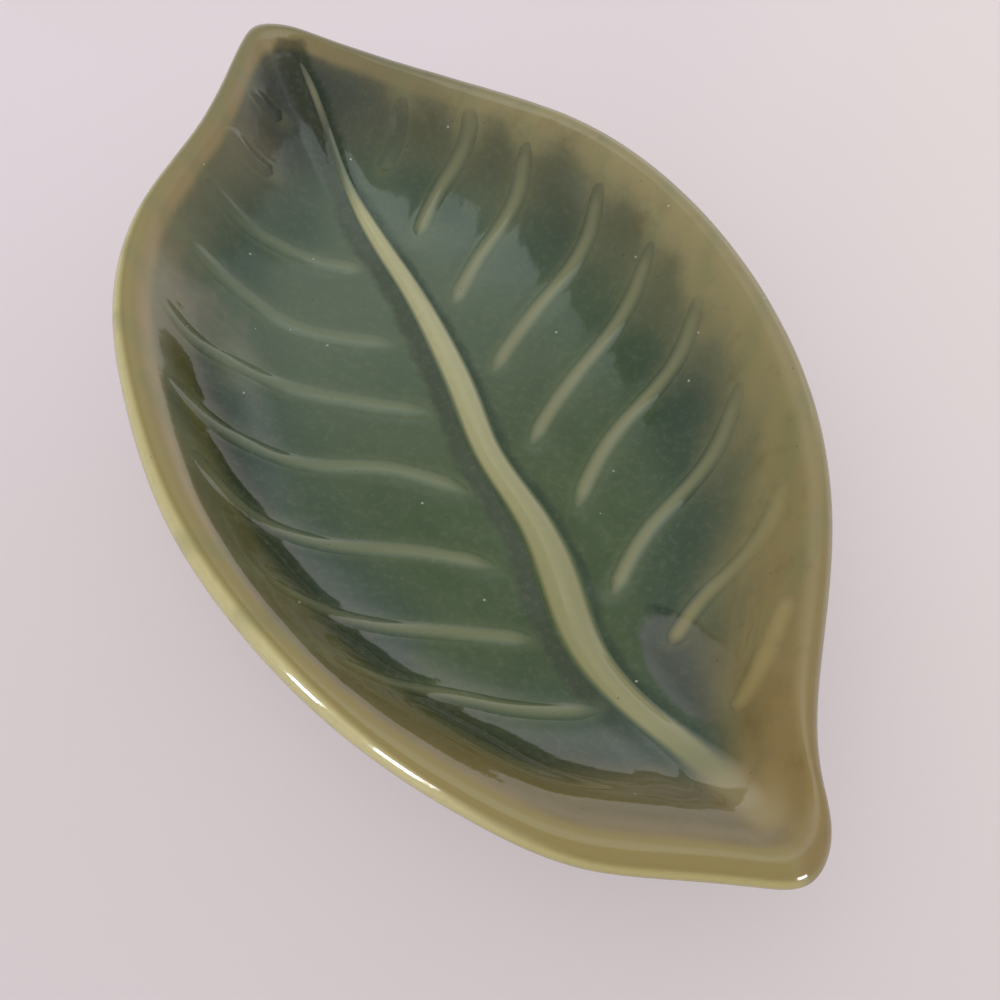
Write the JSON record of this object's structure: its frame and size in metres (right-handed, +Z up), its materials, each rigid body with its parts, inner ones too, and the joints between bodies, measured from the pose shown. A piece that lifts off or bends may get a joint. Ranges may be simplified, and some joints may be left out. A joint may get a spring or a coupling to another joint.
{
  "type": "ring dish",
  "caption": "Shallow leaf-shaped stoneware dish with a green glaze, a raised midrib and raised side veins, for rings and other small things.",
  "frame": {"origin": "on the surface that the dish stands on, under the middle of the leaf", "axes": "+X along the leaf from its apex to its stem tip, +Z up out of the hollow; the left veins are on the -Y side"},
  "size_m": [0.1301, 0.071, 0.0206],
  "materials": {
    "glazed_clay": "glossy green-teal glaze that breaks to olive tan at the rim",
    "bare_clay": "bare fired stoneware, fine and matt",
    "midrib_glaze": "glossy glaze, thin and pale olive over the raised midrib",
    "vein_glaze": "glossy glaze, thin and pale green over the raised veins"
  },
  "bodies": {
    "root": {"leaf_shell": "glazed_clay", "foot_ring": "bare_clay", "midrib": "midrib_glaze", "vein_left_1": "vein_glaze", "vein_left_2": "vein_glaze", "vein_left_3": "vein_glaze", "vein_left_4": "vein_glaze", "vein_left_5": "vein_glaze", "vein_left_6": "vein_glaze", "vein_left_7": "vein_glaze", "vein_left_8": "vein_glaze", "vein_left_9": "vein_glaze", "vein_right_1": "vein_glaze", "vein_right_2": "vein_glaze", "vein_right_3": "vein_glaze", "vein_right_4": "vein_glaze", "vein_right_5": "vein_glaze", "vein_right_6": "vein_glaze", "vein_right_7": "vein_glaze", "vein_right_8": "vein_glaze", "vein_right_9": "vein_glaze"}
  },
  "joints": []
}
